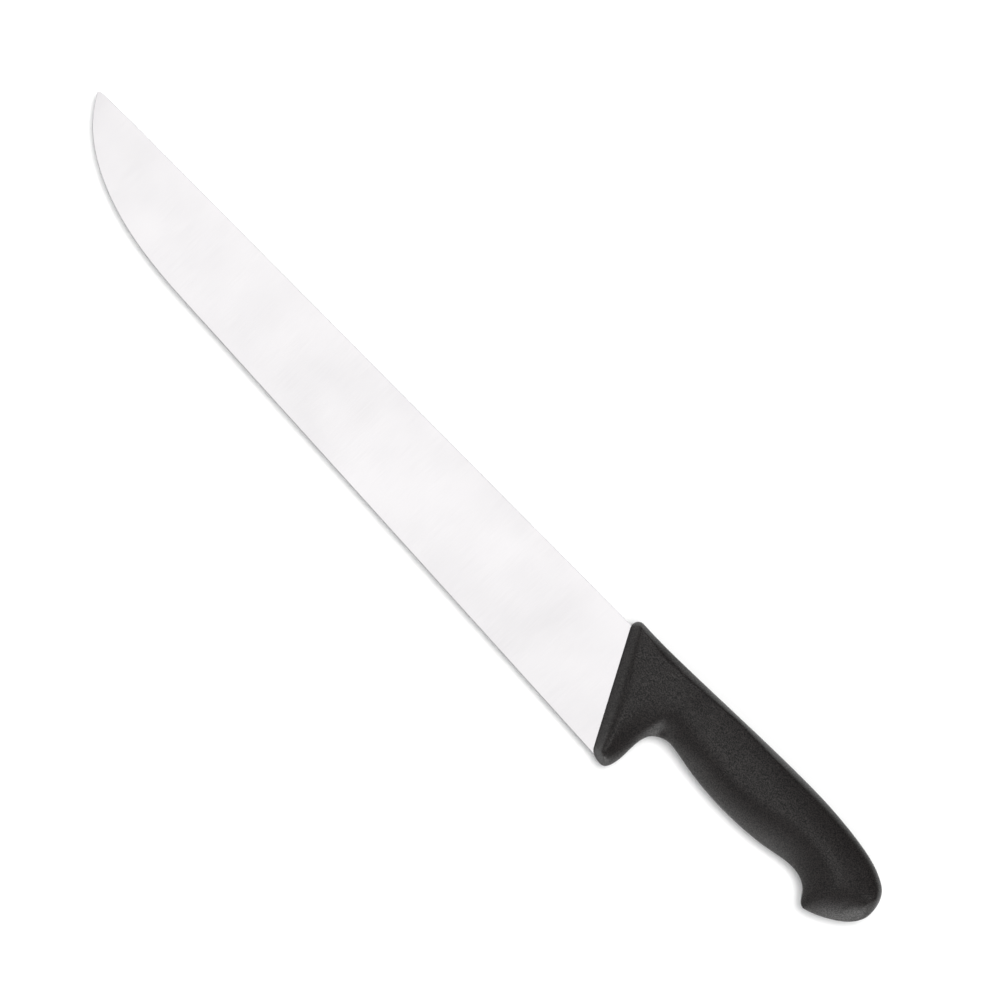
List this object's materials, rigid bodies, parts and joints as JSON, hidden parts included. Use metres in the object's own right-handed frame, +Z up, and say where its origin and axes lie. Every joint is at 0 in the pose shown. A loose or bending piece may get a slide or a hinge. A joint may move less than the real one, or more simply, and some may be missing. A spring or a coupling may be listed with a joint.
{
  "type": "butcher knife",
  "caption": "Long butcher knife with a straight spine, an upswept tip and a moulded black handle with a finger guard and a hooked butt.",
  "frame": {"origin": "the middle of the box that the knife fills as it lies on its side, at the bottom of that box", "axes": "+X from the blade's tip to the handle's butt, +Y from the cutting edge to the spine, +Z up, square to the blade's middle plane"},
  "size_m": [0.4994, 0.059, 0.021],
  "materials": {
    "steel": "finely ground stainless steel, satin, with a polished edge bevel",
    "plastic": "black polypropylene with a fine moulded grain"
  },
  "bodies": {
    "root": {"blade": "steel", "handle": "plastic"}
  },
  "joints": []
}
